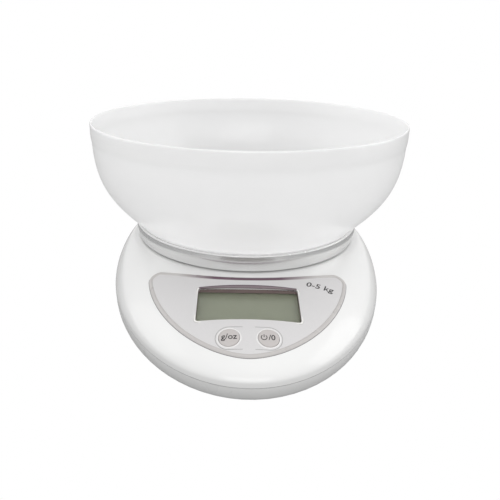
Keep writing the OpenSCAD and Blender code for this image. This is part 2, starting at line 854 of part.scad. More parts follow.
module battery_door() {
    side = slip + 0.05;
    front = lip_y + part_gap;
    color(white) union() {
        // The plate's front edge is bevelled, so that it swings clear of the housing
        translate([-bay_x + side, 0, underside_z]) rotate([90, 0, 90])
            linear_extrude(2 * (bay_x - side))
                polygon([[front, 0], [bay_y1 - side, 0], [bay_y1 - side, door_t],
                         [front + door_bevel, door_t]]);
        // Latch tongue at the free edge
        block(-6, 6, bay_y1 - side - 1.4, bay_y1 - side, underside_z + door_t - eps,
              underside_z + door_t + 3);
        for (s = [-1, 1]) {
            block(s * ear_x - ear_w / 2, s * ear_x + ear_w / 2, pin_y, front + 2,
                  underside_z, pin_z - 0.6);
            translate([s * ear_x, pin_y, pin_z]) rotate([0, 90, 0])
                cylinder(h = ear_w, d = ear_d, center = true);
            // Pin from the ear into the bay's end wall
            translate([s * (ear_x + (bay_x + bay_wall * 0.75 - ear_x) / 2), pin_y, pin_z])
                rotate([0, 90, 0])
                    cylinder(h = bay_x + bay_wall * 0.75 - ear_x, d = pin_d, center = true);
        }
    }
}

// One cell lying along X, its positive button towards side
module battery(k, side) {
    nub = 1;
    shift = side * (bay_x - slip - contact_t);
    translate([shift, cell_y0 + k * cell_pitch, cell_z]) rotate([0, -90 * side, 0]) {
        cylinder(h = nub + eps, d = 5.4);
        translate([0, 0, nub]) rotate_extrude()
            polygon([[0, 0], [cell_d / 2 - 0.6, 0], [cell_d / 2, 0.6],
                     [cell_d / 2, cell_l - nub - 0.6], [cell_d / 2 - 0.6, cell_l - nub],
                     [0, cell_l - nub]]);
    }
}

module battery_front() { color("steelblue") battery(0, 1); }

module battery_rear() { color("steelblue") battery(1, -1); }

// Conical contact springs, each one unbroken tube
spring_turns = 4;
spring_wire = 0.8;

function coil_point(a) =
    let (f = a / (360 * spring_turns), r = 4.6 - 1.6 * f)
    [r * cos(a), r * sin(a), spring_wire / 2 + f * (spring_l - spring_wire - 0.1)];

module spring_form() {
    n = 6;
    steps = 16 * spring_turns;
    skin([for (i = [0 : steps])
        let (a = 360 * spring_turns * i / steps, c = coil_point(a))
        [for (j = [0 : n - 1])
            let (b = 360 * j / n, e = spring_wire / 2)
            c + [e * cos(b) * cos(a), e * cos(b) * sin(a), -e * sin(b)]]]);
}

module battery_springs() {
    color("silver") for (k = [0, 1])
        translate([(k == 0 ? -1 : 1) * (bay_x - slip / 2 - contact_t), cell_y0 + k * cell_pitch, cell_z])
            rotate([0, k == 0 ? 90 : -90, 0]) spring_form();
}

// Plates behind the cells, on one side of the bay
module contact_plate(side, y0, y1) {
    x = bay_x - slip / 2;
    block(min(side * x, side * (x - contact_t)), max(side * x, side * (x - contact_t)),
          y0, y1, cell_z - 5.5, cell_z + 5.5);
}

module bridge_contact() {
    color("gold") contact_plate(-1, cell_y0 - 5.5, cell_y0 + cell_pitch + 5.5);
}

// An end contact with its solder tab through the bay's wall
module tab_contact(k) {
    y = cell_y0 + k * cell_pitch;
    x = bay_x - slip / 2;
    union() {
        contact_plate(1, y - 5.5, y + 5.5);
        block(x - contact_t, x, y - 1.5, y + 1.5, cell_z + 5, bay_top - 3);
        block(x - contact_t, x + bay_wall + 3, y - 1.5, y + 1.5, bay_top - 3.6, bay_top - 3.2);
    }
}

module positive_contact() { color("gold") tab_contact(0); }

module negative_contact() { color("gold") tab_contact(1); }

// Wires from the battery bay and the load cell to the board
wire_d = 1.2;
tab_x = bay_x - slip / 2 + bay_wall + 2.2;

function board_point(u, v) =
    [u, -tilt_y + v * cos(tilt_a) - board_under * sin(tilt_a),
     tilt_z + v * sin(tilt_a) + board_under * cos(tilt_a)];

module power_wire(k, lane, u) {
    y = cell_y0 + k * cell_pitch;
    b = board_point(u, 14 - 1.8 * k);
    wire([
        [tab_x, y, bay_top - 3.6],
        [tab_x, y, 9 + 2 * k],
        [lane, bay_y0 - 7.5, 9 + 2 * k],
        [lane, b[1], 9 + 2 * k],
        [u, b[1], 12],
        b
    ], wire_d);
}

module red_wire() { color("red") power_wire(0, 40, 30); }

module black_wire() { color("black") power_wire(1, 43, 33); }

module cell_wires() {
    color("white") for (i = [0 : 3]) {
        b = board_point(-29 + 1.2 * i, 9.8 + 1.4 * i);
        x0 = -bar_w / 2 + 2.4 + 2.4 * i;
        lane = -14 - 1.5 * i;
        wire([
            [x0, coat_end, bar_top + 0.6],
            [x0, coat_end + 4 + 1.5 * i, bar_top + 0.6],
            [lane, coat_end + 4 + 1.5 * i, bar_top + 0.6],
            [lane, b[1], bar_top - 9],
            [b[0], b[1], bar_top - 9],
            b
        ], 0.9, 1.8);
    }
}

module rubber_feet() {
    color("dimgrey") foot_spots()
        rotate_extrude() polygon([
            [0, 0], [foot_d / 2 - 1.4, 0], [foot_d / 2 - 0.4, 0.6], [foot_d / 2, 1.6],
            [foot_d / 2, foot_h], [0, foot_h]
        ]);
}

place() bowl();
place() platform();
place() platform_bracket();
place() platform_screws();
place() load_spacer();
place() load_screws();
place() load_cell_free_end();
place() load_cell_fixed_end();
place() gauge_coating();
place() fixed_spacer();
place() anchor_screws();
place() upper_housing();
place() lower_housing();
place() housing_screws();
place() control_panel();
place() display_lens();
place() display_frame();
place() display_glass();
place() contact_strips();
place() main_board();
place() chip_cover();
place() board_components();
place() board_screws();
place() switch_bodies();
place() unit_plunger();
place() power_plunger();
place() unit_button();
place() power_button();
place() battery_door();
place() battery_front();
place() battery_rear();
place() battery_springs();
place() bridge_contact();
place() positive_contact();
place() negative_contact();
place() cell_wires();
place() red_wire();
place() black_wire();
place() rubber_feet();
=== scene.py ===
# Kitchen scale with a lift-off bowl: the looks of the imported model.
import math

import bmesh
import bpy
import numpy as np
from mathutils import Matrix, Vector


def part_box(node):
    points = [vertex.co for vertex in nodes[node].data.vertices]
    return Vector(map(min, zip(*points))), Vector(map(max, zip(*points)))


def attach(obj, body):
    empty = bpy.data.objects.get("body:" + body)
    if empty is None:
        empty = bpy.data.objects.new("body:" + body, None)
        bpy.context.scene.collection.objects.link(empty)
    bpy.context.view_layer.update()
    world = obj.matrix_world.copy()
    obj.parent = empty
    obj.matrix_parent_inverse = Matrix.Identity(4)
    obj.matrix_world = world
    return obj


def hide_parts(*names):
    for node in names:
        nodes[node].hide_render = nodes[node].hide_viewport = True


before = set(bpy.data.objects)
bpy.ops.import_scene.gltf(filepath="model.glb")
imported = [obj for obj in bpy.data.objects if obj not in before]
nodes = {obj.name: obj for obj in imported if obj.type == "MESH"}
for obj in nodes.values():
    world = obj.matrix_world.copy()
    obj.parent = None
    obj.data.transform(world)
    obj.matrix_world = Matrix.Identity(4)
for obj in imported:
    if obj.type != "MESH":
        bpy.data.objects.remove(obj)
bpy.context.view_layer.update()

mm = 0.001

# The platform's axis in the frame, in millimetres. All sizes below are measured from it.
axisY = sum(c.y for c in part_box("platform")) / 2 / mm


# shader helper

class Wire:
    # One output socket of a node tree, with arithmetic that adds Math nodes
    def __init__(self, tree, socket):
        self.tree, self.socket = tree, socket

    def math(self, operation, *others):
        made = addNode(self.tree, "Math", {"operation": operation}, dict(enumerate((self,) + others)))
        return Wire(self.tree, made.outputs[0])

    def __add__(self, other):
        return self.math("ADD", other)

    def __radd__(self, other):
        return self.math("ADD", other)

    def __sub__(self, other):
        return self.math("SUBTRACT", other)

    def __rsub__(self, other):
        return self * -1 + other

    def __mul__(self, other):
        return self.math("MULTIPLY", other)

    def __rmul__(self, other):
        return self.math("MULTIPLY", other)

    def __truediv__(self, other):
        return self.math("DIVIDE", other)

    def __pow__(self, other):
        return self.math("POWER", other)

    def clamp(self):
        return self.math("MAXIMUM", 0.0).math("MINIMUM", 1.0)


def feed(tree, socket, value):
    # Links a wire to a socket, or sets the socket's own value
    if isinstance(value, Wire):
        tree.links.new(value.socket, socket)
    elif socket.type == "RGBA" and len(value) == 3:
        socket.default_value = (*value, 1)
    else:
        socket.default_value = value


def addNode(tree, kind, settings=None, sockets=None):
    # Adds any node: its settings first, then the values or links of its sockets
    made = tree.nodes.new("ShaderNode" + kind)
    for key, value in (settings or {}).items():
        setattr(made, key, value)
    for key, value in (sockets or {}).items():
        feed(tree, made.inputs[key], value)
    return made


class Finish:
    # One material around a Principled BSDF. In sockets' names, an underscore stands for a space
    def __init__(self, name, **fixed):
        self.material = bpy.data.materials.new(name)
        self.material.use_nodes = True
        self.tree = self.material.node_tree
        self.shader = self.tree.nodes["Principled BSDF"]
        self.set(**fixed)

    def set(self, **wires):
        for socket, value in wires.items():
            feed(self.tree, self.shader.inputs[socket.replace("_", " ")], value)

    def node(self, kind, settings=None, output=0, **values):
        sockets = {socket.replace("_", " "): value for socket, value in values.items()}
        return Wire(self.tree, addNode(self.tree, kind, settings, sockets).outputs[output])

    def place(self):
        return self.node("TexCoord", output="Object")

    def noise(self, scale, detail=3.0, rough=0.5, at=None):
        return self.node("TexNoise", Vector=at or self.place(), Scale=scale, Detail=detail, Roughness=rough)

    def spread(self, wire, low, high):
        # Maps a noise around one half to a range
        return self.node("MapRange", {"clamp": True}, Value=wire, From_Min=0.3, From_Max=0.7,
                         To_Min=low, To_Max=high)

    def mix(self, factor, a, b):
        # Two colours mixed: the colour sockets of a Mix node are inputs 6 and 7 and output 2
        made = addNode(self.tree, "Mix", {"data_type": "RGBA"}, {0: factor, 6: a, 7: b})
        return Wire(self.tree, made.outputs[2])

    def split(self, wire):
        made = addNode(self.tree, "SeparateXYZ", sockets={0: wire})
        return [Wire(self.tree, out) for out in made.outputs]

    def bump(self, height, distance):
        self.set(Normal=self.node("Bump", Height=height, Distance=distance, Strength=1.0))


# finishes

def tinted(colour, factor):
    # A colour made darker or lighter by a factor
    return tuple(c * factor for c in colour)


def mouldedPlastic(name, colour, rough=0.35, coat=0.0, grain=2500, depth=0.01, tone=0.02):
    # Colour drifts by a low noise, roughness by a middle one, and a fine noise lifts the surface
    finish = Finish(name, Coat_Roughness=0.08, Specular_IOR_Level=0.5)
    drift = finish.spread(finish.noise(14.0), 0.0, 1.0)
    finish.set(Base_Color=finish.mix(drift, tinted(colour, 1 - tone), colour),
               Roughness=finish.spread(finish.noise(90.0, 4.0), rough * 0.85, rough * 1.15))
    if coat:
        finish.set(Coat_Weight=finish.spread(finish.noise(40.0), coat * 0.85, coat))
    finish.bump(finish.noise(grain, 2.0), depth * mm)
    return finish.material


def glossWhite():
    # Polished white moulding: near-even white, faint orange peel and a thin gloss coat
    return mouldedPlastic("glossWhitePlastic", (0.805, 0.805, 0.80), rough=0.22, coat=0.35,
                          grain=320, depth=0.012, tone=0.012)


def milkyPlastic(name, milk, glow, footPaintedShadeTone, rimPaintedShadeTone, footPaintedGlow, rimPaintedGlow):
    # Milky moulding: light scatters through its wall, and a weak painted glow stands in for light that passes
    # through.
    # Tone, darker towards the rim as painted shade, and the painted glow change evenly from the bowl's foot
    # to its rim
    low, rise = 43 * mm, 64 * mm
    finish = Finish(name, IOR=1.45, Specular_IOR_Level=0.5, Subsurface_Weight=milk,
                    Subsurface_Radius=(1, 1, 1), Subsurface_Scale=0.02, Coat_Roughness=0.05,
                    Emission_Strength=glow)
    around = finish.noise(9.0, 2.0)
    up = ((finish.split(finish.place())[2] - low) / rise).clamp()
    # Painted shade: the base tone changes from the foot's to the rim's, darker at the rim
    tone = finish.mix(up, (footPaintedShadeTone,) * 3, (rimPaintedShadeTone,) * 3)
    # Painted glow: pale near the foot, then changing from the foot's glow to the rim's
    foot = (1 - up * 14).clamp()
    paintedGlowColour = finish.mix(up, (footPaintedGlow,) * 3, (rimPaintedGlow,) * 3)
    finish.set(Emission_Color=finish.mix(foot, paintedGlowColour, (0.9, 0.9, 0.9)),
               Base_Color=finish.mix(around * 0.02, tone, (0.99, 0.99, 0.99)),
               Roughness=0.3 + finish.noise(30.0, 2.0) * 0.04, Coat_Weight=0.3 + around * 0.2)
    finish.bump(finish.noise(900.0, 1.0), 0.0015 * mm)
    return finish.material


def satinSilver():
    # Silver lacquer: bright, half-metallic and smooth, with a faint fleck in its tone
    finish = Finish("satinSilverLacquer", Specular_IOR_Level=0.5)
    fleck = finish.spread(finish.noise(5200.0, 1.0), 0.0, 1.0)
    finish.set(Base_Color=finish.mix(fleck, (0.76, 0.76, 0.76), (0.80, 0.80, 0.795)),
               Metallic=finish.spread(finish.noise(30.0), 0.82, 0.88),
               Roughness=finish.spread(finish.noise(24.0, 2.0), 0.24, 0.27))
    return finish.material


def lipPaintedHighlight():
    # Lip of the silver lacquer, made brighter as a painted highlight: less metallic, with a noise in its
    # tone, metal and roughness
    finish = Finish("lipPaintedHighlight", Specular_IOR_Level=0.6)
    lipDrift = finish.noise(400.0, 2.0)
    finish.set(Base_Color=finish.mix(lipDrift, (0.72, 0.72, 0.72), (0.79, 0.79, 0.79)),
               Metallic=finish.spread(lipDrift, 0.25, 0.35), Roughness=finish.spread(lipDrift, 0.2, 0.28))
    return finish.material


def paintedPlumShade(finish, reach, fade):
    # Painted shade: one from the panel's upper arc down to a reach in mm, fading out there and towards both
    # ends
    start, startFade, ends, endFade = 1.0, 0.5, 38, 20
    x, y, _ = finish.split(finish.place())
    dy = y - (panel["arc"] - panel["middle"] + axisY) * mm
    out = (x * x + dy * dy) ** 0.5 - panel["arc"] * mm
    band = ((reach * mm - out) / (fade * mm)).clamp() * ((out + start * mm) / (startFade * mm)).clamp()
    return band * ((ends * mm - x.math("ABSOLUTE")) / (endFade * mm)).clamp()


def panelLacquer():
    # Pale grey satin lacquer with a fine fleck, and a painted plum shade below its upper arc
    finish = Finish("panelLacquer", Specular_IOR_Level=0.5)
    fleck = finish.noise(4800.0, 1.0)
    face = finish.mix(finish.spread(fleck, 0.0, 1.0), (0.60, 0.59, 0.595), (0.655, 0.645, 0.645))
    finish.set(Base_Color=finish.mix(paintedPlumShade(finish, 2.75, 0.5), face, (0.17, 0.10, 0.13)),
               Roughness=finish.spread(finish.noise(150.0, 4.0), 0.30, 0.40))
    finish.bump(fleck, 0.004 * mm)
    return finish.material


def borderLacquer():
    # Darker warm grey of the raised border, with a painted plum shade along the middle of its upper edge
    finish = Finish("borderLacquer", Specular_IOR_Level=0.5, Coat_Roughness=0.08)
    paintedPlum = paintedPlumShade(finish, 2.7, 0.5)
    finish.set(Base_Color=finish.mix(paintedPlum, (0.51, 0.49, 0.48), (0.11, 0.06, 0.085)),
               Roughness=finish.spread(finish.noise(90.0, 4.0), 0.26, 0.34),
               Coat_Weight=finish.spread(finish.noise(40.0), 0.16, 0.2))
    finish.bump(finish.noise(2000.0, 2.0), 0.002 * mm)
    return finish.material


def inkAndPaintedShade(name, colour):
    # Printed ink, and painted shade: dark flat colour with slightly uneven cover
    return mouldedPlastic(name, colour, rough=0.5, grain=4000, depth=0.003, tone=0.25)


def clearWindow():
    # Clear moulding: full transmission with a trace of haze
    finish = Finish("clearWindow", Transmission_Weight=1.0, IOR=1.3, Specular_IOR_Level=0.5)
    finish.set(Base_Color=(0.96, 0.97, 0.96),
               Roughness=finish.spread(finish.noise(180.0, 4.0), 0.01, 0.05))
    return finish.material


def displayGlass():
    # Blank reflective display: grey-green with a fine cell grain
    finish = Finish("displayGlass", Specular_IOR_Level=0.3)
    grain = finish.spread(finish.noise(900.0, 3.0), 0.0, 1.0)
    finish.set(Base_Color=finish.mix(grain, (0.37, 0.39, 0.295), (0.40, 0.42, 0.32)),
               Roughness=finish.spread(finish.noise(120.0), 0.3, 0.4))
    finish.bump(finish.noise(1800.0), 0.004 * mm)
    return finish.material


def softRubber(name, colour):
    # Matt rubber: a dull colour, dusty patches and a pebbled skin
    finish = Finish(name, Specular_IOR_Level=0.35)
    dust = finish.spread(finish.noise(70.0, 6.0, 0.7), 0.0, 1.0)
    finish.set(Base_Color=finish.mix(dust, colour, tinted(colour, 1.3)),
               Roughness=finish.spread(finish.noise(300.0, 4.0), 0.62, 0.85))
    finish.bump(finish.noise(1400.0, 3.0), 0.05 * mm)
    return finish.material


def bareMetal(name, colour, rough, grain=900.0):
    # Bare or plated metal: fine scratches from a noise drawn long along X
    finish = Finish(name, Metallic=1.0)
    drawn = finish.node("Mapping", Vector=finish.place(), Scale=(0.08, 1.0, 1.0))
    scratch = finish.noise(grain, 4.0, 0.6, at=drawn)
    finish.set(Base_Color=finish.mix(finish.spread(scratch, 0.0, 1.0), tinted(colour, 0.88), colour),
               Roughness=finish.spread(scratch, rough * 0.8, rough * 1.25))
    finish.bump(scratch, 0.01 * mm)
    return finish.material


def circuitBoard():
    # Green solder mask over a weave of glass fibre, from two crossed wave bands
    finish = Finish("circuitBoard", Specular_IOR_Level=0.5, Coat_Roughness=0.1)
    bands = [finish.node("TexWave", {"bands_direction": side}, "Fac", Vector=finish.place(),
                         Scale=260.0, Distortion=0.6) for side in ("X", "Y")]
    weave = bands[0] * bands[1]
    finish.set(Base_Color=finish.mix(weave, (0.02, 0.13, 0.05), (0.035, 0.19, 0.08)),
               Roughness=finish.spread(finish.noise(200.0), 0.28, 0.4), Coat_Weight=0.3)
    finish.bump(weave, 0.02 * mm)
    return finish.material


def cellSleeve():
    # Shrunk film on a cell: blue with a paler band towards one end, from the place along X
    bandFrom, bandFade = 6.0, 0.5
    finish = Finish("cellSleeve", Specular_IOR_Level=0.5, Coat_Weight=0.4, Coat_Roughness=0.1)
    along = finish.split(finish.place())[0]
    band = ((along / mm - bandFrom) / bandFade).clamp()
    mottle = finish.spread(finish.noise(120.0, 3.0), 0.94, 1.0)
    base = finish.mix(band, (0.045, 0.10, 0.20), (0.55, 0.56, 0.56))
    finish.set(Base_Color=finish.mix(mottle, (0.05, 0.05, 0.05), base),
               Roughness=finish.spread(finish.noise(260.0), 0.25, 0.35))
    finish.bump(finish.noise(500.0), 0.02 * mm)
    return finish.material


glossWhitePlastic = glossWhite()
# The white moulding, greyer as painted shade, for the lower housing and the battery door
baseMouldingPaintedShade = mouldedPlastic("baseMouldingPaintedShade", (0.67, 0.67, 0.665), rough=0.3, coat=0.3, grain=320,
                              depth=0.012, tone=0.012)
silverLacquer = satinSilver()
plainMoulding = mouldedPlastic("plainMoulding", (0.74, 0.74, 0.72), rough=0.5)
steelScrew = bareMetal("platedSteel", (0.62, 0.61, 0.60), 0.3)
bareAluminium = bareMetal("milledAluminium", (0.77, 0.77, 0.78), 0.32)
nickelPlate = bareMetal("nickelPlate", (0.74, 0.71, 0.63), 0.25)
footRubber = softRubber("footRubber", (0.10, 0.10, 0.10))

finishOfNode = {
    "platform_bracket": plainMoulding,
    "platform_screws": steelScrew, "load_screws": steelScrew, "anchor_screws": steelScrew,
    "housing_screws": steelScrew, "board_screws": steelScrew,
    "load_spacer": bareAluminium, "fixed_spacer": bareAluminium,
    "load_cell_free_end": bareAluminium, "load_cell_fixed_end": bareAluminium,
    "gauge_coating": mouldedPlastic("curedSilicone", (0.78, 0.77, 0.74), rough=0.42),
    "display_lens": clearWindow(), "display_glass": displayGlass(),
    "display_frame": mouldedPlastic("greyMoulding", (0.16, 0.16, 0.165), rough=0.5),
    "contact_strips": softRubber("contactRubber", (0.45, 0.30, 0.32)),
    "main_board": circuitBoard(),
    "chip_cover": mouldedPlastic("castResin", (0.012, 0.012, 0.013), rough=0.25, grain=900, depth=0.05),
    "board_components": mouldedPlastic("componentCases", (0.22, 0.14, 0.07), rough=0.4),
    "switch_bodies": mouldedPlastic("switchCases", (0.02, 0.02, 0.02), rough=0.45),
    "unit_plunger": mouldedPlastic("plungerPlastic", (0.55, 0.50, 0.40), rough=0.5),
    "battery_door": baseMouldingPaintedShade,
    "battery_front": cellSleeve(),
    "battery_springs": nickelPlate, "bridge_contact": nickelPlate,
    "positive_contact": nickelPlate, "negative_contact": nickelPlate,
    "cell_wires": mouldedPlastic("paleInsulation", (0.70, 0.70, 0.67), rough=0.45),
    "red_wire": mouldedPlastic("redInsulation", (0.50, 0.02, 0.015), rough=0.45),
    "black_wire": mouldedPlastic("blackInsulation", (0.02, 0.02, 0.02), rough=0.45),
    "rubber_feet": footRubber,
}
finishOfNode["power_plunger"] = finishOfNode["unit_plunger"]
finishOfNode["battery_rear"] = finishOfNode["battery_front"]

for name, finish in finishOfNode.items():
    nodes[name].data.materials.clear()
    nodes[name].data.materials.append(finish)
print("finishes made")


# mesh helpers

def addObject(name, data):
    # Puts a mesh, a curve, a lamp or a camera into the scene
    made = bpy.data.objects.new(name, data)
    bpy.context.scene.collection.objects.link(made)
    return made


def makePiece(name, points, faces, finish, body, slot, replaced=(), sharp=30.0):
    # Puts points in millimetres, about the platform's axis, and faces into a mesh in the frame
    mesh = bpy.data.meshes.new(name)
    at = (np.asarray(points, float) + (0, axisY, 0)) * mm
    mesh.from_pydata(at.tolist(), [], [tuple(f) for f in faces])
    work = bmesh.new()
    work.from_mesh(mesh)
    bmesh.ops.remove_doubles(work, verts=work.verts, dist=1e-7)
    bmesh.ops.dissolve_degenerate(work, edges=work.edges, dist=1e-7)
    bmesh.ops.recalc_face_normals(work, faces=work.faces)
    work.to_mesh(mesh)
    work.free()
    return finishPiece(name, mesh, finish, body, replaced, sharp)


def finishPiece(name, mesh, finish, body, replaced=(), sharp=30.0):
    # Shades a mesh smooth up to an angle, and says its finish, its body and what it replaces
    mesh.shade_smooth()
    mesh.set_sharp_from_angle(angle=math.radians(sharp))
    piece = addObject(name, mesh)
    mesh.materials.clear()
    for one in finish if isinstance(finish, (list, tuple)) else [finish]:
        mesh.materials.append(one)
    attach(piece, body)
    if replaced:
        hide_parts(*replaced)
    return piece


def gridFaces(rows, columns, start=0):
    # Quads between neighbouring rows of a grid, each row closed round
    r, c = np.meshgrid(np.arange(rows - 1), np.arange(columns), indexing="ij")
    d = (c + 1) % columns
    quads = np.stack([r * columns + c, r * columns + d, (r + 1) * columns + d, (r + 1) * columns + c], -1)
    return (quads.reshape(-1, 4) + start).tolist()


def bridgeFaces(first, second, columns):
    # Quads from one closed row to another, given the number of the point that each starts at
    c = np.arange(columns)
    d = (c + 1) % columns
    return np.stack([first + c, first + d, second + d, second + c], -1).tolist()


def tubeFaces(rows, columns):
    # A grid of closed rows whose last row is joined to its first
    return gridFaces(rows, columns) + bridgeFaces((rows - 1) * columns, 0, columns)


def faceValues(mesh, name):
    # Three numbers for each face: its centre or its normal
    out = np.empty(len(mesh.polygons) * 3, np.float32)
    mesh.polygons.foreach_get(name, out)
    return out.reshape(-1, 3)


def giveSecondFinish(mesh, chosen):
    # Puts the piece's second finish on the chosen faces
    mesh.polygons.foreach_set("material_index", chosen.astype(np.int32))


def smoothStep(x, start, width):
    # Rises from 0 to 1 over a width, level at both ends: 3t2 - 2t3
    t = np.clip((x - start) / width, 0, 1)
    return t * t * (3 - 2 * t)


def lathe(profile, around=240):
    # A closed profile of radius and height, carried round the axis
    profile = np.asarray(profile, float)
    a = np.linspace(0, 2 * np.pi, around, endpoint=False)
    x = profile[:, :1] * np.cos(a)
    y = profile[:, :1] * np.sin(a)
    z = np.repeat(profile[:, 1:], around, 1)
    return np.stack([x, y, z], -1).reshape(-1, 3), gridFaces(len(profile), around)


def rounded(corners, radii, steps=6):
    # A polyline with each corner replaced by a parabola that leaves it at the given distance
    out = [corners[0]]
    t = np.linspace(0, 1, steps)[:, None]
    for k in range(1, len(corners) - 1):
        p, before, after = (np.array(corners[k + j], float) for j in (0, -1, 1))
        a = p + (before - p) / np.linalg.norm(before - p) * radii[k]
        b = p + (after - p) / np.linalg.norm(after - p) * radii[k]
        out += [tuple(q) for q in a * (1 - t) ** 2 + p * 2 * t * (1 - t) + b * t * t]
    return out + [corners[-1]]


def smoothCopy(node, name, finish, body):
    # A CAD node's own mesh, merged and shaded smooth, with normals weighted by area so that its
    # flat faces stay flat
    mesh = nodes[node].data.copy()
    mesh.name = name
    work = bmesh.new()
    work.from_mesh(mesh)
    bmesh.ops.remove_doubles(work, verts=work.verts, dist=1e-6)
    bmesh.ops.dissolve_degenerate(work, edges=work.edges, dist=1e-7)
    work.to_mesh(mesh)
    work.free()
    piece = finishPiece(name, mesh, finish, body, [node], sharp=24)
    even = piece.modifiers.new("evenNormals", "WEIGHTED_NORMAL")
    even.weight = 100
    even.keep_sharp = True


def carve(piece, cutters):
    # Takes closed cutters out of a piece for good, and clears the cutters away
    for cutter in cutters:
        modifier = piece.modifiers.new("cut", "BOOLEAN")
        modifier.operation = "DIFFERENCE"
        modifier.solver = "EXACT"
        modifier.object = cutter
    shown = piece.evaluated_get(bpy.context.evaluated_depsgraph_get())
    fresh = bpy.data.meshes.new_from_object(shown)
    old = piece.data
    piece.modifiers.clear()
    piece.data = fresh
    bpy.data.meshes.remove(old)
    fresh.name = piece.name
    for cutter in cutters:
        mesh = cutter.data
        bpy.data.objects.remove(cutter)
        bpy.data.meshes.remove(mesh)


def prism(name, outline, low, high, frameOf=None):
    # A closed prism on a flat outline between two heights, in the panel's working frame or not
    n = len(outline)
    points = np.concatenate([np.column_stack([outline, np.full(n, z)]) for z in (low, high)])
    if frameOf is not None:
        points = frameOf(points)
    faces = gridFaces(2, n) + [list(range(n))[::-1], list(range(n, 2 * n))]
    mesh = bpy.data.meshes.new(name)
    mesh.from_pydata(((points + (0, axisY, 0)) * mm).tolist(), [], faces)
    work = bmesh.new()
    work.from_mesh(mesh)
    bmesh.ops.recalc_face_normals(work, faces=work.faces)
    work.to_mesh(mesh)
    work.free()
    return addObject(name, mesh)


def roundedBox(x0, x1, y0, y1, r, steps=6):
    # A rectangle with quarter-circle corners, anticlockwise
    a = np.radians(np.concatenate([np.linspace(0, 90, steps) + q for q in (0, 90, 180, 270)]))
    cx = np.repeat([x1 - r, x0 + r, x0 + r, x1 - r], steps)
    cy = np.repeat([y1 - r, y1 - r, y0 + r, y0 + r], steps)
    return np.column_stack([cx + r * np.cos(a), cy + r * np.sin(a)])


def ringOutline(r, steps=64, at=(0, 0)):
    # A circle about a spot, anticlockwise
    a = np.linspace(0, 2 * np.pi, steps, endpoint=False)
    return np.column_stack([at[0] + r * np.cos(a), at[1] + r * np.sin(a)])


def headings(points):
    # Each flat point's direction from the origin, in radians
    return np.arctan2(points[:, 1], points[:, 0])


def reachAt(angle, outline):
    # How far a closed outline about the origin reaches at the given headings
    return np.interp(angle, headings(outline), np.hypot(*outline.T), period=2 * np.pi)


# body surface

shell = {
    "halfWidth": 82.5, "nose": 121.5, "tail": 96.5, "station": 19.0, "nosePower": 1.67,
    "seatRadius": 73.0, "seatZ": 33.7, "shoulderZ": 13.1, "shoulderPower": 1.7,
    "partingZ": 10.8, "wall": 2.2, "hub": (-17, 17, -35, -9, 4),
}


def spow(a, p):
    # A power that keeps the sign
    return np.sign(a) * np.abs(a) ** p


def bodyOutline(s, inset=0.0):
    # Superellipse: half an ellipse behind the widest station, a more pointed half before it
    front = np.sin(s) < 0
    y = np.where(front, (shell["nose"] - inset) * spow(np.sin(s), 2 / shell["nosePower"]),
                 (shell["tail"] - inset) * np.sin(s))
    return np.stack([(shell["halfWidth"] - inset) * np.cos(s), y - shell["station"]], -1)


denseOutline = bodyOutline(np.linspace(-np.pi, np.pi, 7201))


def bodyHeight(x, y):
    # Height of the shoulder over a point: flat inside the seat circle, then a superellipse down
    # to the outline, along straight lines out from the platform's axis
    edge = reachAt(headings(np.column_stack([x, y])), denseOutline)
    t = np.clip((np.hypot(x, y) - shell["seatRadius"]) / (edge - shell["seatRadius"]), 0, 1)
    e = shell["shoulderPower"]
    return shell["shoulderZ"] + (shell["seatZ"] - shell["shoulderZ"]) * (1 - t ** e) ** (1 / e)


def bodyShell(inset, low, columns=320, rows=44, ease=0.0):
    # Rows of the shell from its lower edge, up the side wall, over the shoulder and to the axis
    s = np.linspace(0, 2 * np.pi, columns, endpoint=False)
    edge = bodyOutline(s, inset)
    seat = edge / np.hypot(edge[:, 0], edge[:, 1])[:, None] * (shell["seatRadius"] - inset)
    e = shell["shoulderPower"]
    k = np.linspace(0, np.pi / 2, rows)
    t = np.cos(k) ** (2 / e)
    h = np.sin(k) ** (2 / e)
    over = seat[None] + (edge - seat)[None] * t[:, None, None]
    z = shell["shoulderZ"] + (shell["seatZ"] - inset - shell["shoulderZ"]) * h
    rings = [np.column_stack([bodyOutline(s, inset + ease), np.full(columns, low)]),
             np.column_stack([edge, np.full(columns, low + ease + 0.01)])]
    rings += [np.column_stack([over[i], np.full(columns, z[i])]) for i in range(rows)]
    for f in (0.8, 0.6, 0.4, 0.2, 0.0):
        rings.append(np.column_stack([seat * f, np.full(columns, z[-1])]))
    return np.concatenate(rings), len(rings)


tilt = {"angle": math.radians(12), "y": 100.0, "z": 30.02}


def tilted(points):
    # The panel's working frame: u across, v up the slope, w out of it
    u, v, w = np.asarray(points, float).T
    c, s = math.cos(tilt["angle"]), math.sin(tilt["angle"])
    return np.column_stack([u, -tilt["y"] + v * c - w * s, tilt["z"] + v * s + w * c])


def laidOn(u, v, lift):
    # Points of the working frame, corrected along its normal until they lie lift above the body
    damping = 0.95
    w = np.zeros_like(u)
    for k in range(8):
        p = tilted(np.column_stack([u, v, w]))
        w = w - (p[:, 2] - bodyHeight(p[:, 0], p[:, 1]) - lift) * damping
    return tilted(np.column_stack([u, v, w]))


def atDepth(outline, w):
    # A flat outline of the working frame at one height across it
    return tilted(np.column_stack([outline, np.full(len(outline), w)]))


window = {
    "width": 51.6, "v0": -11.0, "v1": 14.2, "corner": 1.5, "floor": -3.6,
    "shadeHalf": 25.5, "shadeEnds": 0.5, "shadeBulge": 1.95, "shadeBelow": 0.36,
}
button = {"pitch": 18.5, "v": -22.4, "diameter": 9.6, "gap": 0.3, "grown": 0.1}


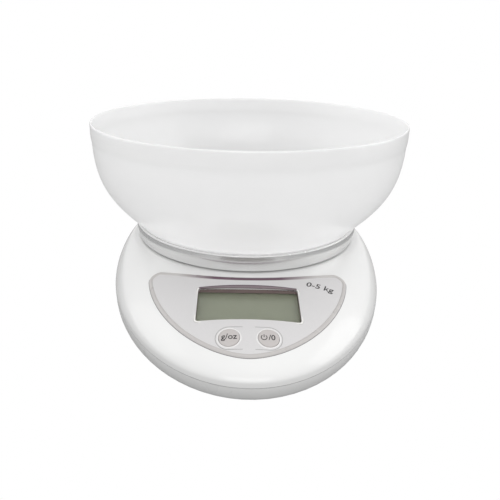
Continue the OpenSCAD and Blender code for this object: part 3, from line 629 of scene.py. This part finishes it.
def windowOutline(grow=0.0):
    # The window's rounded rectangle, grown all round
    return roundedBox(-window["width"] / 2 - grow, window["width"] / 2 + grow,
                      window["v0"] - grow, window["v1"] + grow, window["corner"] + max(grow, 0))


def buttonSpot(side):
    # Middle of the left key, -1, or of the right key, 1, in the working frame
    return np.array([side * button["pitch"] / 2, button["v"]])


def buttonCuts(gap):
    # Cutters for the two key holes
    r = button["diameter"] / 2 + gap
    return [prism("keyCut", ringOutline(r, at=buttonSpot(side)), -9, 9, tilted) for side in (-1, 1)]


def makeUpperHousing():
    # Outer and inner shells joined at the parting line, then cut for hub, display and buttons
    outer, rows = bodyShell(0.0, shell["partingZ"], ease=0.2)
    inner, _ = bodyShell(shell["wall"], shell["partingZ"])
    n = len(outer) // rows
    faces = gridFaces(rows, n) + [f[::-1] for f in gridFaces(rows, n, start=len(outer))]
    faces += bridgeFaces(len(outer), 0, n)
    piece = makePiece("upperHousing", np.concatenate([outer, inner]), faces, glossWhitePlastic,
                      "body", "white", ["upper_housing"], sharp=32)
    cutters = [prism("hubCut", roundedBox(*shell["hub"]), 25, 40),
               prism("displayCut", windowOutline(1.2), -30, 8, tilted)]
    carve(piece, cutters + buttonCuts(0.6))
    piece.data.set_sharp_from_angle(angle=math.radians(32))


def makePartingJoint():
    # The joint between the two shells, with painted shade: a thin grey band along the outline, deep in their
    # groove
    columns, half, near, deep = 320, 0.12, 0.05, 0.8
    s = np.linspace(0, 2 * np.pi, columns, endpoint=False)
    z = shell["partingZ"]
    corners = [(near, z + half), (deep, z + half), (deep, z - half), (near, z - half)]
    rings = [np.column_stack([bodyOutline(s, inset), np.full(columns, high)]) for inset, high in corners]
    makePiece("partingJoint", np.concatenate(rings), tubeFaces(4, columns),
              inkAndPaintedShade("partingShade", (0.46, 0.46, 0.46)), "body", "white", sharp=50)


panel = {
    "halfWidth": 53.8, "length": 60.3, "widest": 72.0, "powers": (1.86, 1.52), "arc": 140.0,
    "middle": 76.2, "corner": 6.0, "centre": (0.0, -97.0), "thick": 1.2, "face": 0.06,
    # The border's section: distance in from the outline, and lift above the body's surface
    "border": [(0.25, -1.2), (0.05, -0.2), (0.0, 0.1), (0.03, 0.28), (0.13, 0.42), (0.32, 0.52),
               (0.62, 0.55), (1.0, 0.56), (1.35, 0.5), (1.6, 0.38), (1.8, 0.2), (1.95, 0.09),
               (2.2, 0.06)],
    # The section of the thin band of painted shade in the joint round it
    "joint": [(-0.2, -0.3), (-0.2, 0.02), (0.1, 0.02), (0.1, -0.3)],
}


def panelOutline(count):
    # Half-moon: a superellipse below, a hollow arc above, joined by round corners
    a, b, y0, arc = panel["halfWidth"], panel["length"], panel["widest"], panel["arc"]
    sidePoints = 400
    across, along = panel["powers"]
    x = a * np.sin(np.linspace(-np.pi / 2, np.pi / 2, 4001))
    low = -y0 - b * (1 - np.minimum(np.abs(x) / a, 1) ** across) ** (1 / along)
    high = arc - panel["middle"] - np.sqrt(arc * arc - x * x)
    side = np.linspace(low[0], high[0], sidePoints)
    path = np.concatenate([
        np.column_stack([x, low]),
        np.column_stack([np.full(sidePoints, a), side]),
        np.column_stack([x, high])[::-1],
        np.column_stack([np.full(sidePoints, -a), side[::-1]]),
    ])
    return roundCorners(path, panel["corner"], np.array(panel["centre"]), count)


def nearest(points, others):
    # Each point's distance to the closest of the others
    return np.sqrt(((points[:, None] - others[None]) ** 2).sum(-1)).min(1)


def roundCorners(path, corner, centre, count):
    # Opens the shape with a disc: points at least corner inside it, then out again by the disc,
    # worked out on the distances from a centre along even directions, by halving steps
    step = np.linspace(0, 2 * np.pi, count, endpoint=False)
    direction = np.column_stack([np.cos(step), np.sin(step)])
    radius = reachAt(step, path - centre)
    fine = path[::4]
    inner, span = radius * 0.5, radius * 0.5
    for k in range(16):
        span = span / 2
        clear = nearest(centre + direction * (inner + span)[:, None], fine) >= corner
        inner = np.where(clear, inner + span, inner)
    core = centre + direction * inner[:, None]
    out, span = inner * 0.6, radius * 0.6
    for k in range(18):
        span = span / 2
        near = nearest(centre + direction * (out + span)[:, None], core)
        out = np.where((out + span < inner) | (near <= corner), out + span, out)
    return centre + direction * out[:, None]


def makePanel():
    # Rings from the lower edge up over the rounded border, then straight in to the centre, with
    # the height of the body's surface added to every point
    n, faceRings, underRings = 720, 39, 11
    centre = np.array(panel["centre"])
    base = panelOutline(n)
    tangent = np.roll(base, -1, 0) - np.roll(base, 1, 0)
    for k in range(6):
        tangent = (tangent + np.roll(tangent, 1, 0) + np.roll(tangent, -1, 0)) / 3
    inward = np.column_stack([-tangent[:, 1], tangent[:, 0]])
    inward /= np.hypot(*inward.T)[:, None]
    insets, lifts = np.array(panel["border"]).T
    rings = [base + inward * inset for inset in insets]
    borderEnd, faceEdge = rings[-2:]
    rings += [centre + (faceEdge - centre) * f for f in np.linspace(1, 0, faceRings + 1)[1:]]
    lifts = np.append(lifts, [panel["face"]] * faceRings)
    flat = np.concatenate(rings)
    top = np.column_stack([flat, bodyHeight(*flat.T) + np.repeat(lifts, n)])
    low = [top[:n]]
    for f in np.linspace(1, 0, underRings + 1)[1:]:
        spot = centre + (flat[:n] - centre) * f
        low.append(np.column_stack([spot, bodyHeight(*spot.T) - panel["thick"]]))
    faces = gridFaces(len(rings), n)
    faces += [f[::-1] for f in gridFaces(len(low), n, start=len(top))]
    piece = makePiece("controlPanel", np.concatenate([top] + low), faces, [panelLacquer(), borderLacquer()],
                      "body", "panel", ["control_panel"], sharp=40)
    carve(piece, [prism("windowCut", windowOutline(), -20, 9, tilted)] + buttonCuts(button["gap"]))
    # A thin dark band of painted shade in the joint round the panel
    around = []
    for inset, lift in panel["joint"]:
        spot = base + inward * inset
        around.append(np.column_stack([spot, bodyHeight(*spot.T) + lift]))
    makePiece("panelJoint", np.concatenate(around), tubeFaces(4, n), inkAndPaintedShade("jointShade", (0.22, 0.21, 0.22)),
              "body", "panel", sharp=50)
    # The border's faces take the darker lacquer
    rel = faceValues(piece.data, "center")[:, :2] / mm - (0, axisY) - centre
    giveSecondFinish(piece.data, np.hypot(*rel.T) > reachAt(headings(rel), borderEnd - centre))
    piece.data.set_sharp_from_angle(angle=math.radians(40))


def bandOn(name, outer, inner, profile, finish, body, slot):
    # A closed band between two outlines of the working frame, with a small raised profile
    rings = [laidOn(*(outer * (1 - f) + inner * f).T, lift) for f, lift in profile]
    makePiece(name, np.concatenate(rings), tubeFaces(len(rings), len(outer)), finish, body, slot, sharp=50)


def makeWindowTrim():
    # A fine light rim round the window with a thin line round it, a painted plum shade on its upper rim, and
    # the walls of the recess, dark brown as painted shade
    bandOn("windowRim", windowOutline(0.95), windowOutline(-0.02),
           [(0, -0.3), (0, 0.1), (0.25, 0.24), (0.75, 0.26), (1, 0.1), (1, -0.3)],
           mouldedPlastic("rimLacquer", (0.80, 0.79, 0.77), rough=0.25), "body", "panel")
    bandOn("windowLine", windowOutline(1.12), windowOutline(0.9),
           [(0, -0.2), (0, 0.1), (1, 0.1), (1, -0.2)],
           inkAndPaintedShade("windowLineInk", (0.42, 0.41, 0.41)), "body", "panel")
    # Painted plum shade on the upper rim: a lens under a low arc, and darkest along that arc
    half = window["shadeHalf"]
    u = np.linspace(-half, half, 72)
    tall = window["shadeEnds"] + window["shadeBulge"] * (1 - (u / half) ** 2)
    low = window["v1"] - window["shadeBelow"]
    lineOn("paintedWindowShade", np.column_stack([u, low + tall / 2]), tall[:, None], -0.2, 0.31,
           inkAndPaintedShade("paintedWindowShadeColour", (0.24, 0.19, 0.205)), "body", "panel")
    lineOn("paintedWindowShadeTop", np.column_stack([u, low + tall]), 0.6, -0.2, 0.34,
           inkAndPaintedShade("paintedWindowShadeTopColour", (0.10, 0.065, 0.085)), "body", "panel")
    # The recess walls, coloured dark brown as painted shade
    near, far = windowOutline(), windowOutline(1.0)
    rings = [atDepth(near, window["floor"]), laidOn(*near.T, -0.2),
             laidOn(*far.T, -0.4), atDepth(far, window["floor"])]
    makePiece("displayWell", np.concatenate(rings), tubeFaces(4, len(near)),
              mouldedPlastic("wellPaintedShade", (0.20, 0.15, 0.145), rough=0.5), "body", "panel", sharp=50)


def makeButton(side, name, node, body, plate):
    # A disc with a rounded edge whose top follows the body's surface, on a stem with a flange
    r, around = button["diameter"] / 2 + button["grown"], 96
    top = [(r, -2.6), (r, 0.15), (r - 0.04, 0.3), (r - 0.15, 0.42), (r - 0.35, 0.5), (r - 0.8, 0.53),
           (r * 0.6, 0.55), (r * 0.3, 0.56), (0, 0.56)]
    stem = [(0, -5.1), (2, -5.1), (2, -4.4), (6.2, -4.4), (6.2, -3.6), (r, -3.6)]
    rings = [atDepth(ringOutline(p, around, buttonSpot(side)), w) for p, w in stem]
    rings += [laidOn(*ringOutline(p, around, buttonSpot(side)).T, lift) for p, lift in top]
    makePiece(name, np.concatenate(rings), gridFaces(len(rings), around), plate, body, "buttons", [node],
              sharp=35)


platform = {
    "radius": 71.0, "foot": 69.75, "recess": 69.1, "lip": 44.1, "tray": 42.9, "under": 40.8,
    "skirt": 34.6, "bendFrom": 0.22, "bendOver": 0.3,
}


def makePlatform():
    # Lathe: top plate with the recess, soft lip, a wall that is upright at its top and
    # bends inwards by a smooth step of its slope, and the ring that stands on the bracket
    r, foot, recess = platform["radius"], platform["foot"], platform["recess"]
    lip, tray, under, skirt = (platform[k] for k in ("lip", "tray", "under", "skirt"))
    f = np.linspace(0, 1, 101)
    drawn = np.cumsum(smoothStep(f, platform["bendFrom"], platform["bendOver"]))
    wall = list(zip(r - (r - foot) * drawn / drawn[-1], lip - (lip - skirt) * f))
    wall = wall[12:98:4]  # thinned, and clear of the rounded corners at its ends
    profile = rounded([(0, tray), (recess, tray), (recess, lip), (r, lip), wall[0]],
                      [0, 0.4, 0.25, 0.6, 0]) + wall[1:]
    profile += rounded([wall[-1], (foot, skirt), (foot - 2.1, skirt), (r - 2.1, under - 1.0),
                        (r - 4.0, under), (46, under), (46, 39.2), (44, 39.2), (44, under), (0, under)],
                       [0, 0.3, 0.3, 0.5, 0.5, 0.2, 0.2, 0.2, 0.2, 0])[1:]
    piece = makePiece("platformPlate", *lathe(profile), [silverLacquer, lipPaintedHighlight()], "platform", "silver",
                      ["platform"], sharp=35)
    # The faces above the tray's level, round the lip, take the painted highlight
    giveSecondFinish(piece.data, faceValues(piece.data, "center")[:, 2] > (tray + 0.55) * mm)


bowl = {
    "height": 63.7, "foot": 68.5, "rim": 94.9, "lip": 95.3, "wall": 1.6, "base": 42.9, "floor": 1.5,
    "powers": (3.525, 0.748), "band": 11.0, "thinned": 0.9,
}


def bowlSide(z, shrink=0.0):
    # Superellipse: the side's radius at a height above the foot
    h, foot, rim = bowl["height"], bowl["foot"], bowl["rim"]
    up, out = bowl["powers"]
    return foot - shrink + (rim - foot) * (1 - ((h - z) / h) ** up) ** (1 / out)


def makeBowl():
    # Lathe: superellipse side from foot to rim band, closed by the inner side one wall further in,
    # which thins by a smooth step towards the rim
    h, foot, rim, lip, step = (bowl[k] for k in ("height", "foot", "rim", "lip", "floor"))
    innerFloor, inside = step + bowl["wall"], foot - 3.5
    z = step + (h - step) * (1 - np.cos(np.linspace(0, np.pi / 2, 48)))
    z = z[z < h - bowl["band"]]
    up = z[z > step + 0.25]
    outer = [(bowlSide(step) - 0.02, step + 0.12)] + list(zip(bowlSide(up), up))
    band = [(bowlSide(h - bowl["band"]), h - bowl["band"]), (rim + 0.08, h - 10.2), (rim + 0.2, h - 9.4),
            (rim + 0.32, h - 8.6), (lip, h - 7.6), (lip, h - 1.0), (lip - 0.07, h - 0.55),
            (lip - 0.25, h - 0.2), (lip - 0.5, h), (lip - 0.75, h - 0.08), (lip - 0.95, h - 0.35),
            (lip - 1.05, h - 0.8)]
    down = np.append(h - np.array([1.6, 3.2, 5.4, 7.8, 9.6]), z[z > innerFloor + 0.2][::-1])
    inner = list(zip(bowlSide(down, bowl["wall"]) + bowl["thinned"] * smoothStep(down, h - 30, 28), down))
    edge = bowlSide(innerFloor, bowl["wall"])
    inner += [(edge - 0.5, innerFloor + 0.05), (edge - 1.6, innerFloor), (30, innerFloor), (0, innerFloor)]
    bottom = [(0, step), (inside - 0.5, step), (inside, step - 0.4), (inside + 0.1, 0.4), (inside + 0.5, 0),
              (foot - 0.4, 0), (foot - 0.08, 0.12), (foot, 0.4), (foot, step - 0.1), (foot + 0.1, step),
              (bowlSide(step) - 0.25, step)]
    profile = np.array(bottom + outer + band + inner) + (0, bowl["base"])
    # Two copies of one milky finish with painted shade and painted glow: the outside darker towards its rim
    # than the inside
    finishes = [milkyPlastic("frostedOutside", 0.78, 0.2, 0.95, 0.56, 0.62, 0.0),
                milkyPlastic("frostedInside", 0.85, 0.2, 0.90, 0.78, 0.5, 0.1)]
    piece = makePiece("mixingBowl", *lathe(profile), finishes, "bowl", "frosted", ["bowl"], sharp=35)
    # The faces that look at the axis, and the floor, are the inside
    centres, normals = faceValues(piece.data, "center") - (0, axisY * mm, 0), faceValues(piece.data, "normal")
    towards = (centres[:, :2] * normals[:, :2]).sum(1) < -1e-4
    floor = (normals[:, 2] > 0.9) & (centres[:, 2] < (bowl["base"] + 10) * mm)
    giveSecondFinish(piece.data, towards | floor)


def solidOn(name, points, faces, finish, body, slot):
    # A closed solid of the working frame, its third number a lift above the body's surface
    makePiece(name, laidOn(*points.T), faces, finish, body, slot)


def lineOn(name, path, width, low, high, finish, body, slot):
    # A thin raised line along an open path, with one width or a column of widths
    run = np.gradient(path, axis=0)
    across = np.column_stack([-run[:, 1], run[:, 0]]) / np.hypot(*run.T)[:, None] * width / 2
    corners = [(across, low), (across, high), (-across, high), (-across, low)]
    rows = [np.column_stack([path + side, np.full(len(path), lift)]) for side, lift in corners]
    points = np.stack(rows, 1).reshape(-1, 3)
    last = (len(path) - 1) * 4
    faces = gridFaces(len(path), 4) + [[3, 2, 1, 0], [last, last + 1, last + 2, last + 3]]
    solidOn(name, points, faces, finish, body, slot)


def wordsOn(name, words, spot, size, low, high, finish, body, slot, slant=0.0, turn=0.0):
    # Plain lettering laid on the surface, from a low to a high lift
    curve = bpy.data.curves.new(name, "FONT")
    curve.body = words
    curve.size = size
    curve.extrude = 0.5
    curve.shear = slant
    curve.offset = size * 0.01
    curve.align_x, curve.align_y = "CENTER", "CENTER"
    curve.resolution_u = 3
    holder = addObject(name + "Outline", curve)
    bpy.context.view_layer.update()
    flat = bpy.data.meshes.new_from_object(holder.evaluated_get(bpy.context.evaluated_depsgraph_get()))
    at = np.empty(len(flat.vertices) * 3, np.float32)
    flat.vertices.foreach_get("co", at)
    at = at.reshape(-1, 3).astype(float)
    faces = [tuple(f.vertices) for f in flat.polygons]
    bpy.data.objects.remove(holder)
    bpy.data.curves.remove(curve)
    bpy.data.meshes.remove(flat)
    c, q = math.cos(turn), math.sin(turn)
    u = at[:, 0] * c - at[:, 1] * q + spot[0]
    v = at[:, 0] * q + at[:, 1] * c + spot[1]
    lift = low + (at[:, 2] + 0.5) * (high - low)
    solidOn(name, np.column_stack([u, v, lift]), faces, finish, body, slot)


marks = {
    "lineRadius": 6.45, "lineWidth": 0.22, "tail": 2.9, "face": 0.06, "key": 0.55,
    "unit": "g/oz", "unitSize": 4.4, "unitUp": 0.2, "zero": "/0", "zeroSize": 4.2, "zeroShift": 1.5,
    "signShift": -2.2, "signRadius": 1.35, "signWidth": 0.36,
    "capacity": "0-5 kg", "capacitySpot": (38.0, 18.5), "capacitySize": 5.8,
}


def makeMarks():
    # Rims and fine lines round the buttons, and plain marks: units, power sign with zero, capacity
    pale = mouldedPlastic("keyRimLacquer", (0.78, 0.77, 0.765), rough=0.25, coat=0.2)
    dark = inkAndPaintedShade("printedInk", (0.012, 0.011, 0.011))
    grey = inkAndPaintedShade("fineLineInk", (0.36, 0.355, 0.35))
    hole = button["diameter"] / 2 + button["gap"]
    r = marks["lineRadius"]
    for side, key in ((-1, "unit"), (1, "power")):
        spot = buttonSpot(side)
        bandOn(key + "Rim", ringOutline(hole + 0.75, 96, spot), ringOutline(hole - 0.02, 96, spot),
               [(0, -0.3), (0, 0.08), (0.3, 0.26), (0.7, 0.28), (1, 0.12), (1, -0.3)],
               pale, "body", "panel")
        a = np.radians(np.linspace(90, 90 - 180 * side, 60))
        arc = spot + r * np.column_stack([np.cos(a), np.sin(a)])
        tail = np.linspace(side * marks["tail"], spot[0], 12)[:-1]
        path = np.concatenate([np.column_stack([tail, np.full(11, spot[1] + r)]), arc,
                               np.column_stack([tail, np.full(11, spot[1] - r)])[::-1]])
        lineOn(key + "Line", path, marks["lineWidth"], -0.1, marks["face"] + 0.05, grey, "body", "panel")
    low, high = marks["key"] - 0.02, marks["key"] + 0.035
    left, right = buttonSpot(-1), buttonSpot(1)
    wordsOn("unitMark", marks["unit"], left + (0, marks["unitUp"]), marks["unitSize"], low, high, dark,
            "unit_button", "buttons")
    wordsOn("zeroMark", marks["zero"], right + (marks["zeroShift"], 0), marks["zeroSize"], low, high, dark,
            "power_button", "buttons")
    sign = right + (marks["signShift"], 0)
    a = np.radians(np.linspace(125, 415, 40))
    lineOn("powerArc", sign + marks["signRadius"] * np.column_stack([np.cos(a), np.sin(a)]),
           marks["signWidth"], low, high, dark, "power_button", "buttons")
    lineOn("powerBar", sign + np.column_stack([np.zeros(6), np.linspace(0.1, 1.75, 6)]), marks["signWidth"],
           low, high, dark, "power_button", "buttons")
    wordsOn("capacityMark", marks["capacity"], marks["capacitySpot"], marks["capacitySize"], -0.02,
            marks["face"] + 0.04, dark, "body", "panel", slant=0.15, turn=math.radians(-12))


makeUpperHousing()
smoothCopy("lower_housing", "lowerHousing", baseMouldingPaintedShade, "body")
makePartingJoint()
print("housings made")
makePanel()
makeWindowTrim()
keyPlastic = mouldedPlastic("keyPlastic", (0.52, 0.49, 0.48), rough=0.35)
makeButton(-1, "unitButton", "unit_button", "unit_button", keyPlastic)
makeButton(1, "powerButton", "power_button", "power_button", keyPlastic)
makeMarks()
print("panel made")
makePlatform()
makeBowl()
print("platform and bowl made")


# stage, lamps and camera

def directRays(tree, gloss=1.0):
    # One for rays from the camera and through glass, and a share of it for rays off gloss
    path = addNode(tree, "LightPath")
    camera, glossy, through = (Wire(tree, path.outputs[f"Is {kind} Ray"])
                               for kind in ("Camera", "Glossy", "Transmission"))
    return camera.math("MAXIMUM", glossy * gloss).math("MAXIMUM", through)


def makeFloor():
    # Plain white for the camera, while the object gets a greyer bounce from it
    half = 4
    finish = Finish("paleFloor", Base_Color=(0.15, 0.15, 0.15), Roughness=0.9, Specular_IOR_Level=0.1)
    tree = finish.tree
    glow = addNode(tree, "Emission", sockets={"Color": (1, 1, 1)})
    seen = addNode(tree, "MixShader", sockets={
        0: directRays(tree, 0.3), 1: Wire(tree, finish.shader.outputs[0]), 2: Wire(tree, glow.outputs[0])})
    feed(tree, tree.nodes["Material Output"].inputs["Surface"], Wire(tree, seen.outputs[0]))
    mesh = bpy.data.meshes.new("floor")
    mesh.from_pydata([(-half, -half, 0), (half, -half, 0), (half, half, 0), (-half, half, 0)], [],
                     [(0, 1, 2, 3)])
    mesh.materials.append(finish.material)
    addObject("floor", mesh)


def makeWorld():
    # Soft light from all round, and plain white where the camera sees it
    world = bpy.data.worlds.new("studio")
    bpy.context.scene.world = world
    world.use_nodes = True
    tree = world.node_tree
    back = tree.nodes["Background"]
    feed(tree, back.inputs["Color"], (1, 1, 1))
    strength = addNode(tree, "Mix", {"data_type": "FLOAT"}, {0: directRays(tree), 2: 0.97, 3: 1.0})
    feed(tree, back.inputs["Strength"], Wire(tree, strength.outputs[0]))


lamps = {
    "overhead": {"at": (0.1, 0.1, 1.1), "aim": (0, 0, 0.05), "size": (1.2, 0.9), "power": 0.3},
    "leftCard": {"at": (-0.9, 0.1, 0.45), "aim": (0, 0, 0.05), "size": (0.7, 0.9), "power": 1.2},
    "rightCard": {"at": (0.9, 0.0, 0.25), "aim": (0, 0, 0.05), "size": (0.7, 0.9), "power": 2.2},
    "frontCard": {"at": (0.0, -1.0, 0.38), "aim": (0, -0.05, 0.04), "size": (0.9, 0.5), "power": 2.2},
}


def addLamp(name, at, aim, size, power):
    # A rectangular lamp that looks at its aim
    lamp = bpy.data.lights.new(name, "AREA")
    lamp.shape = "RECTANGLE"
    lamp.size, lamp.size_y = size
    lamp.energy = power
    holder = addObject(name, lamp)
    holder.location = at
    holder.rotation_mode = "QUATERNION"
    holder.rotation_quaternion = (Vector(aim) - Vector(at)).to_track_quat("-Z", "Y")


view = {
    "at": (-7.9, -329.9, 158.06), "heading": -0.76, "pitch": 23.11, "roll": 0.59,
    "lens": 37.74, "sensor": 36, "shift": (0.0463, 0.0007),
}


def makeCamera():
    # The photograph's view: place, heading and pitch are from the fit of its ellipses
    cam = bpy.data.cameras.new("photoView")
    cam.sensor_width, cam.lens = view["sensor"], view["lens"]
    cam.shift_x, cam.shift_y = view["shift"]
    cam.clip_start, cam.clip_end = 0.01, 20
    h, p, r = (math.radians(view[k]) for k in ("heading", "pitch", "roll"))
    ahead = Vector((math.sin(h) * math.cos(p), math.cos(h) * math.cos(p), -math.sin(p)))
    right = Vector((math.cos(h), -math.sin(h), 0))
    up = right.cross(ahead)
    turnedRight = right * math.cos(r) + up * math.sin(r)
    turnedUp = up * math.cos(r) - right * math.sin(r)
    holder = addObject("photoView", cam)
    x, y, z = view["at"]
    basis = Matrix((turnedRight, turnedUp, -ahead)).transposed()
    holder.matrix_world = Matrix.Translation(Vector((x, y + axisY, z)) * mm) @ basis.to_4x4()
    bpy.context.scene.camera = holder


makeFloor()
makeWorld()
for name, lamp in lamps.items():
    addLamp(name, **lamp)
makeCamera()
bpy.context.scene.view_settings.view_transform = "Standard"
print("stage made")
